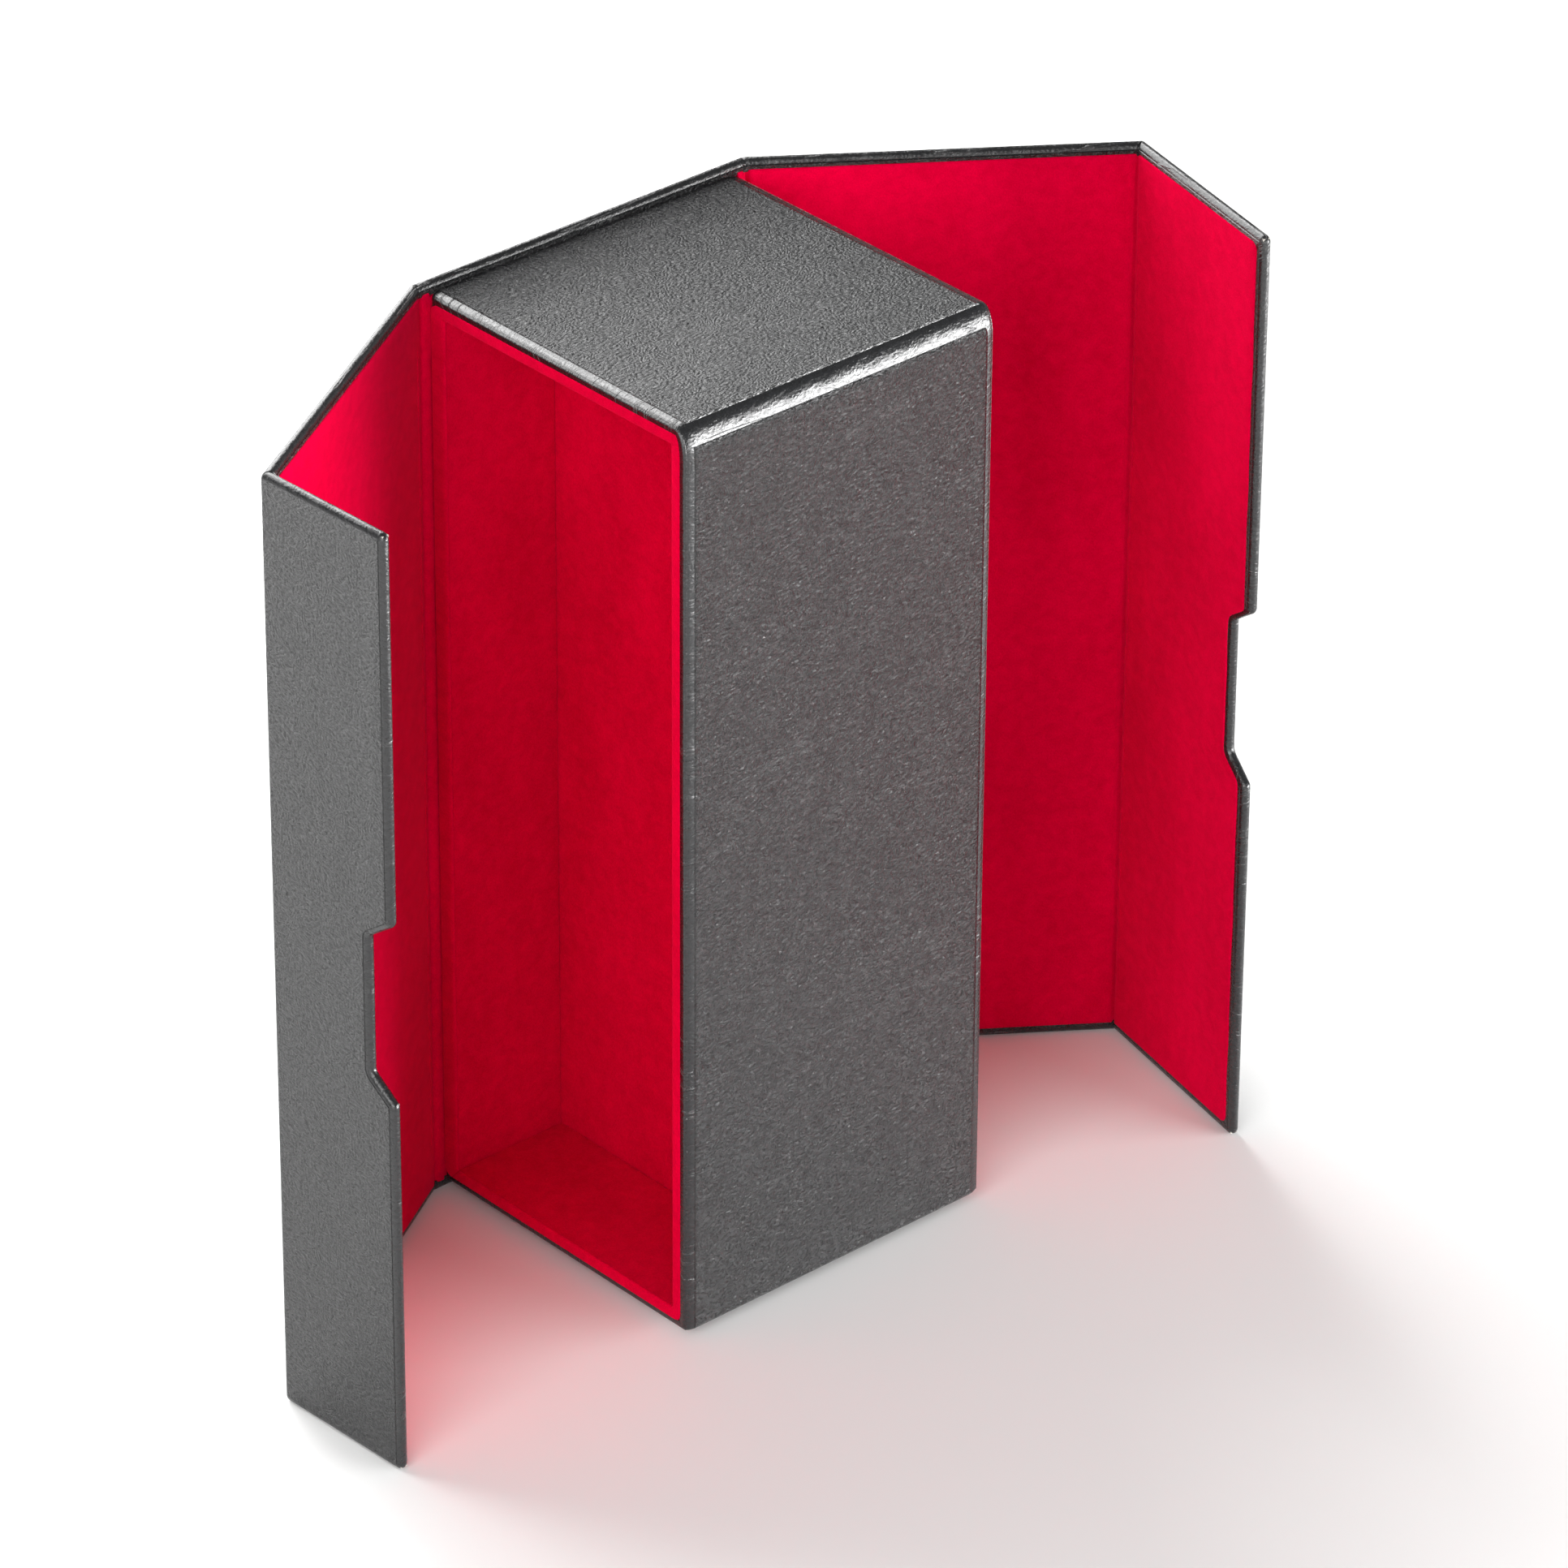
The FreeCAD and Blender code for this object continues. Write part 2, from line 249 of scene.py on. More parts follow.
# the grain is stretched flat round the edge
WRAP_TAUT = (WRAP[:, 0] < EDGE_SOFT - 0.01 * MM).astype(float)


def run_length(profile):
    """Distance along a profile from its first point."""
    steps = np.linalg.norm(np.diff(profile, axis=0), axis=1)
    return np.concatenate([[0.0], np.cumsum(steps)])


def wrap_heights():
    """The wrap's points round the top and then the bottom edge: height, depth, place on the material and
    how taut the grain is there."""
    inward, depth = WRAP[:, 0], WRAP[:, 1]
    along = HEIGHT - WRAP_REACH + run_length(WRAP)
    z = np.concatenate([HEIGHT - inward, inward[::-1]])
    cloth = np.concatenate([along, (HEIGHT - along)[::-1]])
    taut = np.concatenate([WRAP_TAUT, WRAP_TAUT[::-1]])
    return z, np.concatenate([depth, depth[::-1]]), cloth, taut


def folded_skin(panel, material):
    """Leather of a panel with a fold at both ends: its section swept along the panel."""
    z, depth, v, taut = wrap_heights()
    stations = np.array([0.0, 0.02, 0.5, 0.98, 1.0])
    start = skin_start(depth)
    u = start + stations[:, None] * (panel.width - 2 * start)
    points = panel.place(u, depth, z)
    count = len(z)
    faces = grid_faces(len(stations), count, close_columns=True)
    faces += [list(range(count)), list(range(len(points) - count, len(points)))]
    name = panel.name + "_wrap"
    made = piece(name, points, faces, panel.cloth(u, v), material, panel.body,
                 replaces=[panel.name + "_leather"], taut=np.tile(taut, len(stations)))
    return sharpen(made)


def rounded_path(corners, steps=7):
    """Points of an outline whose corners (point, radius) are rounded with arcs."""
    path = []
    for i, (corner, radius) in enumerate(corners):
        corner = np.array(corner, float)
        if radius == 0:
            path.append(corner)
            continue
        before = np.array(corners[i - 1][0]) - corner
        after = np.array(corners[i + 1][0]) - corner
        before, after = before / np.linalg.norm(before), after / np.linalg.norm(after)
        half = math.acos(np.clip(before @ after, -1, 1)) / 2
        centre = corner + (before + after) / np.linalg.norm(before + after) * radius / math.sin(half)
        first = corner + before * radius / math.tan(half) - centre
        last = corner + after * radius / math.tan(half) - centre
        sweep = math.pi - 2 * half
        turn = math.copysign(1, first[0] * last[1] - first[1] * last[0])
        for s in np.linspace(0, 1, steps + 1):
            a = s * sweep * turn
            path.append(centre + [first[0] * math.cos(a) - first[1] * math.sin(a),
                                  first[0] * math.sin(a) + first[1] * math.cos(a)])
    return np.array(path)


def flap_corners(width, margin=0.0, notch_margin=0.0, corner=CORNER_ROUND, mouth_corner=NOTCH_ROUND,
                 deep_corner=NOTCH_ROUND):
    """The free outline of a flap, as (point, radius): from the fold along the bottom, up the notched edge
    and back along the top."""
    middle, far = HEIGHT / 2, width - margin
    deep = width - NOTCH_DEPTH - notch_margin
    slope = (NOTCH_OUTER - NOTCH_INNER) / 2 / NOTCH_DEPTH
    inner = NOTCH_INNER / 2 + notch_margin * (math.hypot(1, slope) - slope)
    mouth = inner + (far - deep) * slope
    return [
        ((0, margin), 0), ((far, margin), corner),
        ((far, middle - mouth), mouth_corner), ((deep, middle - inner), deep_corner),
        ((deep, middle + inner), deep_corner), ((far, middle + mouth), mouth_corner),
        ((far, HEIGHT - margin), corner), ((0, HEIGHT - margin), 0),
    ]


def inset_outline(width, inset):
    """The same outline, all of it moved into the flap by inset: outer corners tighten, the notch's widen."""
    corner = max(CORNER_ROUND - inset, LEAST_ROUND)
    mouth_corner = max(NOTCH_ROUND - inset, LEAST_ROUND)
    return rounded_path(flap_corners(width, inset, inset, corner, mouth_corner, NOTCH_ROUND + inset))


def flap_skin(panel, material):
    """Leather of a flap: the same wrap, carried round the free outline with its notch."""
    rings = np.stack([inset_outline(panel.width, inset) for inset in WRAP[:, 0]], 1)
    edge = int(np.argmin(WRAP[:, 0]))
    past_edge = run_length(WRAP)[edge] - run_length(WRAP)
    inward = (rings[:, :1] - rings[:, edge:edge + 1]) / WRAP[0, 0]
    flat = rings[:, edge:edge + 1] + inward * past_edge[None, :, None]
    u, z = rings[..., 0].copy(), rings[..., 1]
    depth = np.broadcast_to(WRAP[:, 1], u.shape)
    u[0], u[-1] = skin_start(depth[0]), skin_start(depth[-1])
    flat[0, :, 0], flat[-1, :, 0] = u[0], u[-1]
    rows, columns = u.shape
    faces = grid_faces(rows, columns)
    outside = [r * columns for r in range(rows)]
    inside = [r * columns + columns - 1 for r in range(rows)]
    faces += [outside, inside, [outside[0], inside[0], inside[-1], outside[-1]]]
    faces += [list(range(columns)), list(range((rows - 1) * columns, rows * columns))]
    made = piece(panel.name + "_wrap", panel.place(u, depth, z), faces,
                 panel.cloth(flat[..., 0], flat[..., 1]), material, panel.body,
                 replaces=[panel.name + "_leather"], taut=np.tile(WRAP_TAUT, rows))
    return sharpen(made)


# ---------------------------------------------------------------- folds
class Fold:
    """The upright hinge between the far end of panel a and the start of panel b, or their two starts."""

    def __init__(self, name, a, b, a_start):
        self.name, self.a, self.b = name, a, b
        self.point = b.fold
        self.a_dir = a.along if a_start else -a.along
        self.b_dir = b.along
        self.into = (a.inward + b.inward) / np.linalg.norm(a.inward + b.inward)
        across = self.b_dir - self.a_dir
        self.across = across / np.linalg.norm(across)
        self.lean = math.acos(np.clip(a.inward @ self.into, -1, 1))
        self.cloth_middle, self.cloth_step = b.cloth_start, b.cloth_step

    def bend(self, s, start, depth, z, groove=0.0):
        """Points at s from 0 (panel a) to 1 (panel b), where the panels' own surfaces begin at start."""
        s, start, depth, z, groove = np.broadcast_arrays(s, start, depth, z, groove)
        a = start[..., None] * self.a_dir + depth[..., None] * self.a.inward
        b = start[..., None] * self.b_dir + depth[..., None] * self.b.inward
        corner = (depth / math.cos(self.lean))[..., None] * self.into
        t = s[..., None]
        flat = a * (1 - t) ** 2 + corner * 2 * t * (1 - t) + b * t ** 2
        dip = groove * np.exp(-(((s - 0.5) / GROOVE_SHARE) ** 2))
        flat = self.point + flat - dip[..., None] * self.into
        return np.concatenate([flat, z[..., None]], -1).reshape(-1, 3)

    def cloth(self, s, start, v, lift=0.0):
        """Where a point of the bend lies on the flat material."""
        s, start, v, lift = np.broadcast_arrays(s, start, v, lift)
        u = self.cloth_middle + self.cloth_step * (2 * s - 1) * start
        return np.stack([u, v, lift], -1).reshape(-1, 3)

    def join(self, made, reach):
        """Bakes the piece's placement into its points and returns it as built, unbent. reach is not used."""
        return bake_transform(made)

    def reach(self, start, depth):
        """How far from the hinge's middle plane the panels' own surfaces begin."""
        return float((start * math.cos(self.lean) - depth * math.sin(self.lean)).min())


def fold_skin(fold, material):
    """Leather carried over a fold: the wrap's section swept from one panel to the other."""
    z, depth, v, taut = wrap_heights()
    s = np.linspace(0, 1, 15)[:, None]
    start = skin_start(depth)
    crease = CREASE_DEPTH * np.exp(-(((s - 0.5) / CREASE_SHARE) ** 2))
    at_edge = np.clip(1 - np.minimum(z, HEIGHT - z) / EDGE_SOFT, 0, 1)
    height = z + np.where(z > HEIGHT / 2, -1, 1) * crease * at_edge
    groove = LEATHER_GROOVE * depth / SKIN_FACE
    points = fold.bend(s, start, depth, height, groove)
    count = len(z)
    faces = grid_faces(len(s), count, close_columns=True)
    faces += [list(range(count)), list(range(len(points) - count, len(points)))]
    made = piece(fold.name + "_leather", points, faces, fold.cloth(s, start, v), material,
                 taut=np.tile(taut, len(s)))
    sharpen(made)
    fold.join(made, fold.reach(start, depth))
    return made


def pile_edge(distance):
    """How much lower the velvet's face is near an edge that is rounded over."""
    near = np.clip(1 - distance / PILE_ROUND, 0, 1)
    return PILE_ROUND * (1 - np.sqrt(1 - near ** 2))


def spaced(low, high, step, soft_low=True, soft_high=True):
    """Positions from low to high about a step apart, closer where an edge is rounded."""
    fine = PILE_ROUND * (1 - np.cos(quarter(4)))
    start = low + fine if soft_low else np.array([low])
    stop = (high - fine)[::-1] if soft_high else np.array([high])
    count = max(2, int(round((stop[0] - start[-1]) / step)))
    middle = np.linspace(start[-1], stop[0], count + 1)[1:-1]
    return np.concatenate([start, middle, stop])


def fold_velvet(fold, material):
    """Velvet carried over a fold, with the crease along its middle."""
    z = spaced(LINING_MARGIN, HEIGHT - LINING_MARGIN, FOLD_STEP)
    s = np.concatenate([np.linspace(0, 0.3, 4)[:-1], np.linspace(0.3, 0.7, 13), np.linspace(0.7, 1, 4)[1:]])
    z, s = z[:, None], s[None, :]
    drop = pile_edge(np.minimum(z - LINING_MARGIN, HEIGHT - LINING_MARGIN - z))
    start = mitre(PILE_FACE)
    face = fold.bend(s, start, PILE_FACE - drop, z + 0 * s, VELVET_GROOVE)
    back = fold.bend(s, start, BOARD_FACE, z + 0 * s, VELVET_GROOVE)
    rows, columns = len(z), s.shape[1]
    points = np.concatenate([face, back])
    cloth = np.concatenate([fold.cloth(s, start, z), fold.cloth(s, start, z, -MM)])
    made = piece(fold.name + "_velvet", points, slab_faces(rows, columns), cloth, material)
    fold.join(sharpen(made, 70), fold.reach(start, PILE_FACE))
    return made


def slab_faces(rows, columns):
    """Faces of a sheet with a front grid, a back grid of the same size and the edges between them."""
    count = rows * columns
    faces = grid_faces(rows, columns)
    faces += [[count + i for i in face] for face in faces]
    ring = [r * columns for r in range(rows)]
    ring += [(rows - 1) * columns + c for c in range(1, columns)]
    ring += [r * columns + columns - 1 for r in range(rows - 2, -1, -1)]
    ring += list(range(columns - 2, 0, -1))
    faces += [[a, b, b + count, a + count] for a, b in zip(ring, ring[1:] + ring[:1])]
    return faces


# ---------------------------------------------------------------- velvet of the cover
def distance_to(points, outline):
    """Shortest distance from each point to an open outline of straight pieces."""
    best = np.full(points.shape[:-1], 1.0)
    for a, b in zip(outline[:-1], outline[1:]):
        along = b - a
        t = np.clip(((points - a) @ along) / (along @ along), 0, 1)
        gap = np.linalg.norm(points - a - t[..., None] * along, axis=-1)
        best = np.minimum(best, gap)
    return best


def ridge(distance):
    """How far the turned-in leather lifts the velvet at a distance from the velvet's edge."""
    return RIDGE / (1 + np.exp((distance - RIDGE_INSET) / RIDGE_SOFT))


def panel_velvet(panel, material, flap):
    """Velvet of one panel. It meets its neighbour at each fold and is rounded over everywhere else."""
    start = float(mitre(PILE_FACE))
    margin = LINING_MARGIN + (HIDDEN_MARGIN if panel.name == "spine" else 0)
    low, high = margin, HEIGHT - margin
    z = spaced(low, high, PANEL_STEP)
    if flap:
        outline = rounded_path(flap_corners(
            panel.width, LINING_MARGIN, NOTCH_MARGIN, LINING_ROUND, NOTCH_ROUND, NOTCH_ROUND + NOTCH_MARGIN))
        z = np.unique(np.round(np.concatenate([z, outline[1:-1, 1]]), 6))
        edge = outline[1:-1]
        order = np.argsort(edge[:, 1], kind="stable")
        end = np.interp(z, edge[order, 1], edge[order, 0])
        end += EDGE_WAVE * np.sin(z / (3.1 * MM)) * np.sin(z / (11 * MM))
        fine = (PILE_ROUND * (1 - np.cos(quarter(4))))[::-1]
        count = int(panel.width / PANEL_STEP)
        share = np.linspace(0, 1, count)
        u = start + share * (end[:, None] - PILE_ROUND - start)
        u = np.concatenate([u, end[:, None] - fine[1:]], 1)
    else:
        count = int(panel.width / PANEL_STEP)
        u = np.broadcast_to(np.linspace(start, panel.width - start, count), (len(z), count))
    z = np.broadcast_to(z[:, None], u.shape)
    rim = np.minimum(z - low, high - z)
    if flap:
        free = np.stack([end, z[:, 0]], 1)
        rim = np.minimum(rim, distance_to(np.stack([u, z], -1), free))
    drop = pile_edge(rim)
    height = PILE_FACE - drop + ridge(rim) - RIDGE
    face = panel.place(u, height, z)
    back = panel.place(u, BOARD_FACE, z)
    rows, columns = u.shape
    cloth = np.concatenate([panel.cloth(u, z), panel.cloth(u, z, -MM)])
    made = piece(panel.name + "_velvet", np.concatenate([face, back]), slab_faces(rows, columns),
                 cloth, material, panel.body, [panel.name + "_lining"])
    return sharpen(made, 70)


# ---------------------------------------------------------------- case
def rounded_frame(low, high, inset, rounds, back, steps=8, along=10):
    """A closed loop round the case in Y and Z, inset from its outside, by back at its back. rounds are the
    radii of its corners, or (Y, Z) pairs of radii: back bottom, back top, front top and front bottom.
    A corner has steps parts and a straight side about along of them."""
    lo, hi = np.array(low) + inset, np.array(high) - [back, inset]
    corners = [(hi[0], lo[1]), (hi[0], hi[1]), (lo[0], hi[1]), (lo[0], lo[1])]
    towards = [(-1, 1), (-1, -1), (1, -1), (1, 1)]
    radii = [np.maximum(r, LEAST_CASE_ROUND) for r in rounds]
    arcs = []
    for i, (corner, sides, r) in enumerate(zip(corners, towards, radii)):
        a = np.linspace(-math.pi / 2, 0, steps + 1) + i * math.pi / 2
        centre = np.array(corner) + np.array(sides) * r
        arcs.append(centre + r * np.stack([np.cos(a), np.sin(a)], 1))
    shares = np.concatenate([[0.004], np.linspace(0, 1, along + 1)[1:-1], [0.996]])[:, None]
    loop = []
    for arc, following in zip(arcs, arcs[1:] + arcs[:1]):
        loop += [arc, arc[-1] + shares * (following[0] - arc[-1])]
    return np.concatenate(loop)


def case_rounds(inset):
    """The case's corner radii at an inset from its outside."""
    return [r - inset for r in (CASE_FOOT_ROUND, CASE_BACK_ROUND, CASE_ROUND, CASE_FOOT_ROUND)]


def swept_case(name, profile, rounds, material, replaces, back=float):
    """A closed ring round the case. profile gives (x, inset) across it, rounds its radii at an inset, and
    back its inset at the case's back, which float leaves the same as elsewhere."""
    low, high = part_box("case_leather")
    low, high, half = (low.y, low.z), (high.y, high.z), high.x
    loops = [rounded_frame(low, high, inset, rounds(inset), back(inset)) for x, inset in profile]
    rows = [np.column_stack([np.full(len(loop), x), loop]) for x, loop in zip(profile[:, 0], loops)]
    outline = rounded_frame(low, high, 0, case_rounds(0), 0)
    girth = run_length(outline)
    rolled = (outline[:, 0] < low[0] + CASE_ROUND[0]) & (outline[:, 1] > high[1] - 0.75 * CASE_ROUND[1])
    shoulder = np.abs(profile[:, :1]) > half - 0.8 * CASE_SHOULDER
    across = run_length(profile) - run_length(profile)[len(profile) // 2]
    u, v = np.broadcast_arrays(across[:, None], girth)
    cloth = np.stack([u, v, np.zeros_like(u)], -1).reshape(-1, 3)
    faces = grid_faces(len(rows), len(girth), True, True)
    made = piece(name, np.array(rows).reshape(-1, 3), faces, cloth, material, "case", replaces,
                 taut=(rolled[None, :] | shoulder).ravel())
    return sharpen(made)


def case_profile(half):
    """Leather across the case, as (x, inset): rim, outside face, rim, and back inside the skin."""
    shoulder = [
        (-half + CASE_SHOULDER * (1 - math.cos(a)), RIM_DROP * (1 - math.sin(a)))
        for a in quarter(10)
    ]
    left = [(-half + LEATHER, RIM_TURN_IN + 0.4 * MM), (-half + 0.1 * MM, RIM_TURN_IN + 0.4 * MM),
            (-half, RIM_TURN_IN), (-half, RIM_DROP + 0.1 * MM)] + shoulder
    across = [(x, 0.0) for x in np.linspace(-half + CASE_SHOULDER, half - CASE_SHOULDER, 14)[1:-1]]
    right = [(-x, inset) for x, inset in left[::-1]]
    back = [(half - LEATHER, LEATHER), (-half + LEATHER, LEATHER)]
    return np.array(left + across + right + back)


def case_skin(material):
    """One skin round the top, front, bottom and back of the case."""
    profile = case_profile(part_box("case_leather")[1].x)
    swept_case("case_wrap", profile, case_rounds, material, ["case_leather"])


def case_core(material):
    """The board under that skin, with its edges eased as much as the skin's."""
    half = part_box("case_leather")[1].x
    inner = LEATHER + CASE_WALL
    left = [(-half + LEATHER, inner), (-half + LEATHER, RIM_TURN_IN + LEATHER),
            (-half + CASE_SHOULDER, 2 * LEATHER)]
    profile = np.array(left + [(-x, inset) for x, inset in left[::-1]])
    boards = ["case_" + side + "_board" for side in ("top", "front", "bottom", "back")]
    swept_case("case_core", profile, case_rounds, material, boards)


def rim_velvet(side, material):
    """The velvet frame round one opening, rounded over to the inside."""
    low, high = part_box(side + "_rim_lining")
    hand = -1 if side == "left" else 1
    face = low.x if side == "left" else high.x
    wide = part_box(side + "_lining_floor")[1].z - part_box("case_leather")[0].z
    profile = [(LEATHER, RIM_TURN_IN)]
    profile += [(RIM_SOFT * (1 - math.sin(a)), RIM_TURN_IN + RIM_SOFT * (1 - math.cos(a))) for a in quarter(6)]
    profile += [(0.0, wide - RIM_FLAT)]
    profile += [(LEATHER * (1 - math.cos(a)), wide - RIM_FOLD * (1 - math.sin(a))) for a in quarter(6)]
    profile = np.array([(face + hand * (PROUD - depth), inset) for depth, inset in profile])

    def rounds(inset):
        share = (wide - inset) / (wide - RIM_TURN_IN)
        plain = RIM_CORNER + share * RIM_CORNER_MORE
        return [plain, plain, RIM_CORNER + share * (CASE_ROUND - RIM_TURN_IN - RIM_CORNER), plain]

    def back(inset):
        return np.interp(inset, [RIM_TURN_IN, wide], [RIM_BACK, wide])

    swept_case(side + "_rim_velvet", profile, rounds, material, [side + "_rim_lining"], back)


def compartment_velvet(node, axes, outward, soft, material):
    """Velvet on one wall of a compartment. axes are its length and height, outward the way it faces,
    and soft the four edges (start, end, bottom, top) that are rounded into the next wall."""
    low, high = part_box(node)
    first, second = axes
    normal = 3 - first - second
    a = spaced(low[first], high[first], WALL_STEP, soft[0], soft[1])
    b = spaced(low[second], high[second], WALL_STEP, soft[2], soft[3])
    a, b = np.meshgrid(a, b)
    rim = np.full(a.shape, 1.0)
    for edge, gap in zip(soft, (a - low[first], high[first] - a, b - low[second], high[second] - b)):
        if edge:
            rim = np.minimum(rim, gap)
    face_at = high[normal] if outward > 0 else low[normal]
    back_at = low[normal] if outward > 0 else high[normal]
    points = np.zeros((2,) + a.shape + (3,))
    points[..., first], points[..., second] = a, b
    points[0, ..., normal] = face_at - outward * pile_edge(rim)
    points[1, ..., normal] = back_at
    cloth = np.zeros((2,) + a.shape + (3,))
    cloth[..., 0], cloth[..., 1] = a, b
    cloth[0, ..., 2] = face_at
    cloth[1, ..., 2] = back_at
    made = piece(node.replace("lining", "velvet"), points.reshape(-1, 3), slab_faces(*a.shape),
                 cloth.reshape(-1, 3), material, "case", [node])
    return sharpen(made, 70)


def compartments(material):
    """The velvet walls of both compartments. Each one's edges are rounded where it meets the next."""
    x, y, z = 0, 1, 2
    for side in ("left", "right"):
        deep = (False, True) if side == "left" else (True, False)
        stem = side + "_lining_"
        compartment_velvet(stem + "back", (x, z), -1, deep + (False, False), material)
        compartment_velvet(stem + "front", (x, z), 1, deep + (False, False), material)
        compartment_velvet(stem + "floor", (x, y), 1, deep + (True, True), material)
        compartment_velvet(stem + "ceiling", (x, y), -1, deep + (True, True), material)
        facing = -1 if side == "left" else 1
        compartment_velvet(stem + "partition", (y, z), facing, (False,) * 4, material)
        rim_velvet(side, material)


# ---------------------------------------------------------------- materials
IN_MM = (1000, 1000, 1000)                 # the patterns are laid out in millimetres
LEATHER_DARK = (0.0015, 0.0016, 0.0018)
LEATHER_LIGHT = (0.014, 0.0145, 0.016)
LEATHER_WORN = (0.03, 0.03, 0.031)         # along the wrinkles
VELVET_DARK = (0.46, 0.0, 0.020)
VELVET_LIGHT = (0.74, 0.0, 0.042)
VELVET_SHEEN = (1.0, 0.05, 0.16, 1)
BOARD_DARK = (0.34, 0.32, 0.29)
BOARD_LIGHT = (0.47, 0.45, 0.41)
NICKEL_DARK = (0.60, 0.60, 0.61)
NICKEL_LIGHT = (0.74, 0.74, 0.76)
FLOOR_COLOUR = (0.88, 0.875, 0.87, 1)
WHITE = (1, 1, 1, 1)


class Nodes:
    """A material's node tree, with short calls for the nodes that are used."""

    def __init__(self, name, roughness, specular=0.5):
        self.material = bpy.data.materials.new(name)
        self.material.use_nodes = True
        self.tree = self.material.node_tree
        self.shader = self.tree.nodes["Principled BSDF"]
        self.shader.inputs["Roughness"].default_value = roughness
        self.shader.inputs["Specular IOR Level"].default_value = specular
        self.place = self.mapped(self.attribute("cloth").outputs["Vector"], IN_MM)

    def attribute(self, name):
        """One of the values that piece() writes at each point."""
        node = self.tree.nodes.new("ShaderNodeAttribute")
        node.attribute_name = name
        return node

    def feed(self, socket, value):
        """Links an output to a socket, or sets the socket to a plain value."""
        if isinstance(value, bpy.types.NodeSocket):
            self.tree.links.new(value, socket)
        else:
            socket.default_value = value

    def set(self, node, **values):
        """Feeds a node's sockets by name, with _ for a space."""
        for name, value in values.items():
            self.feed(node.inputs[name.replace("_", " ")], value)
        return node

    def mapped(self, vector, scale, angle=0.0):
        """A vector scaled, and turned about Z by an angle in degrees."""
        node = self.tree.nodes.new("ShaderNodeMapping")
        return self.set(node, Vector=vector, Scale=scale, Rotation=(0, 0, math.radians(angle))).outputs[0]

    def noise(self, vector, scale, detail=2.0, rough=0.5, distortion=0.0):
        node = self.tree.nodes.new("ShaderNodeTexNoise")
        self.set(node, Vector=vector, Scale=scale, Detail=detail, Roughness=rough, Distortion=distortion)
        return node.outputs["Fac"]

    def gabor(self, vector, scale, frequency, anisotropy, degrees):
        node = self.tree.nodes.new("ShaderNodeTexGabor")
        node.gabor_type = "2D"
        self.set(node, Vector=vector, Scale=scale, Frequency=frequency, Anisotropy=anisotropy)
        node.inputs[4].default_value = math.radians(degrees)
        return node.outputs["Value"]

    def math(self, kind, a, b=0.0):
        node = self.tree.nodes.new("ShaderNodeMath")
        node.operation = kind
        for socket, value in zip(node.inputs, (a, b)):
            self.feed(socket, value)
        return node.outputs[0]

    def remap(self, value, from_low, from_high, to_low=0.0, to_high=1.0):
        node = self.tree.nodes.new("ShaderNodeMapRange")
        node.interpolation_type = "SMOOTHSTEP"
        self.set(node, Value=value, From_Min=from_low, From_Max=from_high, To_Min=to_low, To_Max=to_high)
        return node.outputs["Result"]

    def blend(self, share, dark, light):
        node = self.tree.nodes.new("ShaderNodeMix")
        node.data_type = "RGBA"
        for socket, value in zip((node.inputs[0], node.inputs[6], node.inputs[7]), (share, dark, light)):
            self.feed(socket, (*value, 1) if isinstance(value, tuple) else value)
        return node.outputs[2]

    def bump(self, height, depth_mm, below=None):
        """Relief that is depth_mm deep, on top of the relief below."""
        node = self.tree.nodes.new("ShaderNodeBump")
        self.set(node, Height=height, Distance=depth_mm * MM)
        node.inputs["Filter Width"].default_value = 0.05
        if below is not None:
            self.tree.links.new(below, node.inputs["Normal"])
        return node.outputs["Normal"]


def leatherette():
    """Black coated leatherette: short wavy ridges, a few long wrinkles, a slightly uneven gloss."""
    n = Nodes("leatherette", 0.34, 0.75)
    wander = n.math("MULTIPLY", n.noise(n.place, 0.09, 2), 8.0)
    shifted = n.tree.nodes.new("ShaderNodeVectorMath")
    shifted.operation = "ADD"
    n.tree.links.new(n.place, shifted.inputs[0])
    n.tree.links.new(wander, shifted.inputs[1])
    ridges = n.gabor(shifted.outputs[0], 0.5, 2.0, 0.35, 38)
    pebbles = n.noise(n.mapped(n.place, (0.8, 1.5, 1), 40), 1.0, 4, 0.6, 0.5)
    grain = n.math("ADD", n.math("MULTIPLY", ridges, 0.4), pebbles)
    loose = n.math("SUBTRACT", 1.0, n.math("MULTIPLY", n.attribute("taut").outputs["Fac"], 0.9))
    lines = n.noise(n.mapped(n.place, (0.012, 0.15, 1), -12), 1.0, 4, 0.55, 0.3)
    crease = n.remap(n.math("ABSOLUTE", n.math("SUBTRACT", lines, 0.5)), 0.0, 0.015, 1, 0)
    patch = n.remap(n.noise(n.place, 0.035, 2), 0.46, 0.62)
    wrinkle = n.math("MULTIPLY", crease, patch)
    swell = n.noise(n.place, 0.12, 3)
    normal = n.bump(swell, 0.4)
    normal = n.bump(wrinkle, 0.14, normal)
    normal = n.bump(n.math("MULTIPLY", grain, loose), 1.15, normal)
    high = n.remap(grain, 0.4, 0.95)
    tone = n.blend(high, LEATHER_DARK, LEATHER_LIGHT)
    n.set(n.shader, Base_Color=n.blend(wrinkle, tone, LEATHER_WORN))
    n.set(n.shader, Roughness=n.remap(high, 0.0, 1.0, 0.34, 0.18), Normal=normal)
    return n.material


